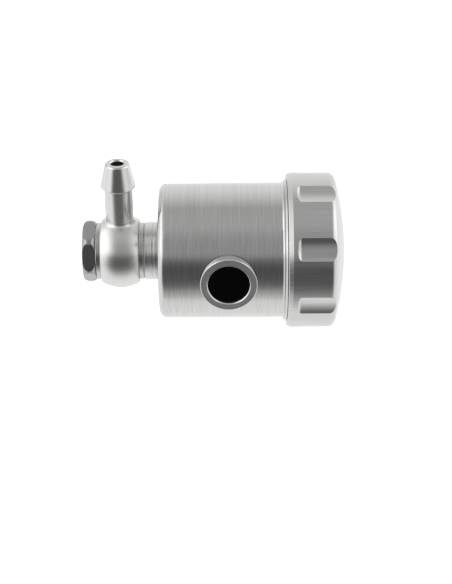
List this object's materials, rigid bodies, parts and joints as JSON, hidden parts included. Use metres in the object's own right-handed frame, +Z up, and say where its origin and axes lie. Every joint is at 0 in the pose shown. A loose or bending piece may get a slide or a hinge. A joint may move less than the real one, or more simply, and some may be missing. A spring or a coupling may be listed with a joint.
{
  "type": "brake fluid reservoir",
  "caption": "Round aluminium brake fluid reservoir with a scalloped screw cap, a round sight glass in its side and a banjo hose union under its base.",
  "frame": {"origin": "centre of the flat base face that sits on the bracket, on the reservoir's axis", "axes": "+Z up along the reservoir's axis towards the cap, -Y out through the sight glass, -X along the hose tail"},
  "size_m": [0.0442, 0.0392, 0.0658],
  "materials": {
    "turned_aluminium": "fine turned, clear anodised",
    "cap_aluminium": "brushed along its axis, clear anodised",
    "bezel_aluminium": "satin turned",
    "union_aluminium": "smooth satin",
    "washer_aluminium": "soft, plain",
    "bolt_steel": "stainless, machined",
    "black_rubber": "moulded, matt",
    "nylon": "natural nylon",
    "clear_glass": "clear, polished"
  },
  "bodies": {
    "reservoir": {"reservoir_body": "turned_aluminium", "diaphragm": "black_rubber", "sight_gasket": "black_rubber", "sight_glass": "clear_glass", "sight_bezel": "bezel_aluminium", "neck_washer": "washer_aluminium", "head_washer": "washer_aluminium", "banjo_bolt": "bolt_steel"},
    "slip_ring": {"slip_ring": "nylon"},
    "cap": {"cap": "cap_aluminium"},
    "banjo": {"banjo_fitting": "union_aluminium"}
  },
  "joints": [
    {"name": "cap_lift", "type": "slide", "parent": "reservoir", "child": "slip_ring", "axis": [0, 0, 1], "range_m": [0, 0.00675]},
    {"name": "cap_turn", "type": "hinge", "parent": "slip_ring", "child": "cap", "pos_m": [0, 0, 0.03208], "axis": [0, 0, 1], "range_deg": [0, 1620]},
    {"name": "banjo_swivel", "type": "hinge", "parent": "reservoir", "child": "banjo", "pos_m": [0, 0, -0.00988], "axis": [0, 0, 1], "continuous": true}
  ],
  "couplings": [
    {"joint": "cap_lift", "follows": "cap_turn", "m_per_rad": 0.00023873}
  ]
}
